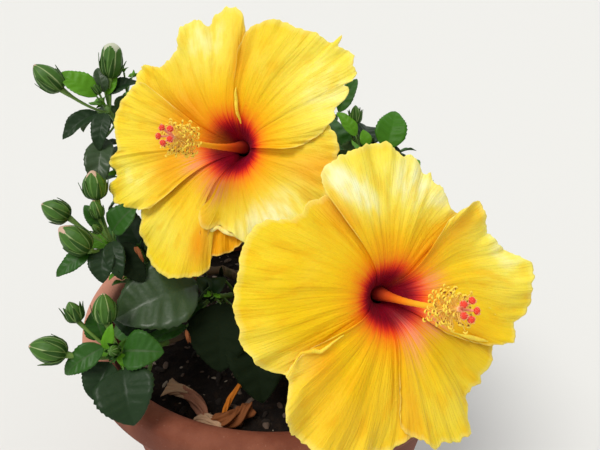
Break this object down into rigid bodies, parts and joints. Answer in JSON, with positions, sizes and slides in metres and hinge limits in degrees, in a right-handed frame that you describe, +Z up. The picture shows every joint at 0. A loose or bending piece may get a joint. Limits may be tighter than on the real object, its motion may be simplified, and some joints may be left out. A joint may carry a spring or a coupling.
{
  "type": "potted hibiscus shrub",
  "caption": "Compact hibiscus shrub in a round terracotta pot: forked trunk, boughs, leafy shoots with striped buds, and two large open yellow blooms with red eyes.",
  "frame": {"origin": "centre of the pot's flat underside", "axes": "+Z up; the picture looks roughly along +Y with +X to the right"},
  "size_m": [0.2862, 0.3096, 0.4278],
  "materials": {
    "pot": "matte terracotta with fine pale specks",
    "soil": "damp dark potting soil",
    "bark": "grey-brown bark, green on young wood",
    "foliage": "glossy dark green leaves",
    "petal": "silky golden yellow petals"
  },
  "bodies": {
    "root": {"pot": "pot", "soil": "soil", "trunk": "bark", "bough_upper_left": "bark", "bough_mid_left": "bark", "bough_lower_left": "bark", "bough_front_centre": "bark", "bough_upper_right": "bark", "bough_right": "bark", "bough_front_right": "bark", "bough_back_left": "bark", "bough_back": "bark", "bough_back_right": "bark", "bough_top": "bark", "bough_bloom_front": "bark", "bough_bloom_back": "bark", "shoot_upper_left": "foliage", "shoot_mid_left": "foliage", "shoot_lower_left": "foliage", "shoot_front_centre": "foliage", "shoot_upper_right": "foliage", "shoot_right": "foliage", "shoot_front_right": "foliage", "shoot_back_left": "foliage", "shoot_back": "foliage", "shoot_back_right": "foliage", "shoot_top": "foliage", "bloom_front": "petal", "bloom_back": "petal"}
  },
  "joints": []
}
